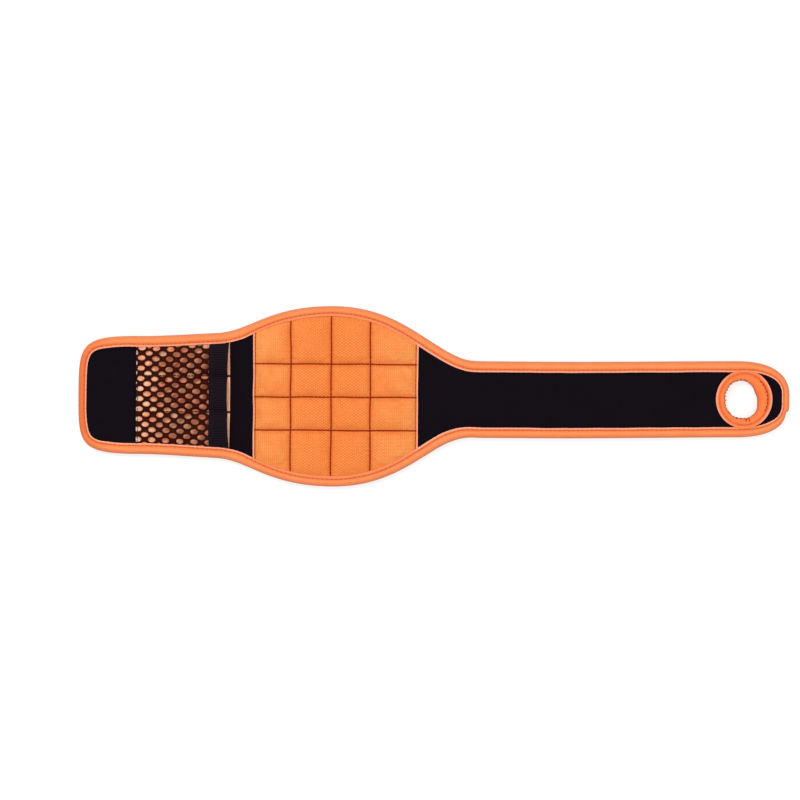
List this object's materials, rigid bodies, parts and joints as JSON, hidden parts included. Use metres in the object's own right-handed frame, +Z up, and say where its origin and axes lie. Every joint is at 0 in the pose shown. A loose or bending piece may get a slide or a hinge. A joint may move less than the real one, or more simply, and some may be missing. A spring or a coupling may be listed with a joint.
{
  "type": "magnetic wristband",
  "caption": "Padded tool wristband laid flat, with a quilted magnet panel, a mesh pocket on a hook-and-loop tab, a bound strap and a thumb hole",
  "frame": {"origin": "centre of the flat band's box, on the surface that it lies on", "axes": "+X along the band from the tab to the thumb hole, +Y across it, +Z up out of the face with the magnets"},
  "size_m": [0.51, 0.1294, 0.0111],
  "materials": {
    "binding_tape": "woven polyester tape, matt",
    "panel_cloth": "coarse ballistic nylon, matt",
    "pocket_cloth": "coarse ballistic nylon, matt",
    "face_fabric": "brushed loop fabric, matt",
    "back_lining": "knitted spacer mesh, matt",
    "net_cloth": "knitted net with six-sided holes",
    "elastic": "ribbed woven elastic",
    "hook_tape": "moulded nylon hooks on woven tape",
    "foam": "closed-cell foam",
    "magnet": "nickel-plated disc"
  },
  "bodies": {
    "tab": {"tab_binding": "binding_tape", "tab_lining": "back_lining", "tab_padding": "foam", "tab_face": "face_fabric", "hook_patch": "hook_tape", "pocket_lining": "pocket_cloth", "pocket_net": "net_cloth", "pocket_hem": "elastic"},
    "belly": {"belly_binding_lower": "binding_tape", "belly_binding_upper": "binding_tape", "belly_lining": "back_lining", "belly_padding": "foam", "magnet_backing": "face_fabric", "magnet_1": "magnet", "magnet_2": "magnet", "magnet_3": "magnet", "magnet_4": "magnet", "magnet_5": "magnet", "magnet_6": "magnet", "magnet_7": "magnet", "magnet_8": "magnet", "magnet_9": "magnet", "magnet_10": "magnet", "magnet_11": "magnet", "magnet_12": "magnet", "magnet_13": "magnet", "magnet_14": "magnet", "magnet_15": "magnet", "magnet_16": "magnet", "quilted_panel": "panel_cloth"},
    "near_strap": {"near_strap_binding_lower": "binding_tape", "near_strap_binding_upper": "binding_tape", "near_strap_lining": "back_lining", "near_strap_padding": "foam", "near_strap_face": "face_fabric"},
    "far_strap": {"far_strap_binding_lower": "binding_tape", "far_strap_binding_upper": "binding_tape", "far_strap_lining": "back_lining", "far_strap_padding": "foam", "far_strap_face": "face_fabric"},
    "thumb_loop": {"thumb_binding": "binding_tape", "thumb_lining": "back_lining", "thumb_padding": "foam", "thumb_face": "face_fabric", "thumb_ring": "binding_tape"}
  },
  "joints": [
    {"name": "tab_fold", "type": "hinge", "parent": "belly", "child": "tab", "pos_m": [-0.1372, 0, 0.0025], "axis": [0, -1, 0], "range_deg": [-45, 63.5]},
    {"name": "belly_fold", "type": "hinge", "parent": "belly", "child": "near_strap", "pos_m": [-0.0052, 0, 0.0025], "axis": [0, 1, 0], "range_deg": [-45, 101]},
    {"name": "strap_fold", "type": "hinge", "parent": "near_strap", "child": "far_strap", "pos_m": [0.0858, 0, 0.0025], "axis": [0, 1, 0], "range_deg": [-45, 71.4]},
    {"name": "thumb_fold", "type": "hinge", "parent": "far_strap", "child": "thumb_loop", "pos_m": [0.1598, 0, 0.0025], "axis": [0, 1, 0], "range_deg": [-45, 71.4]}
  ]
}
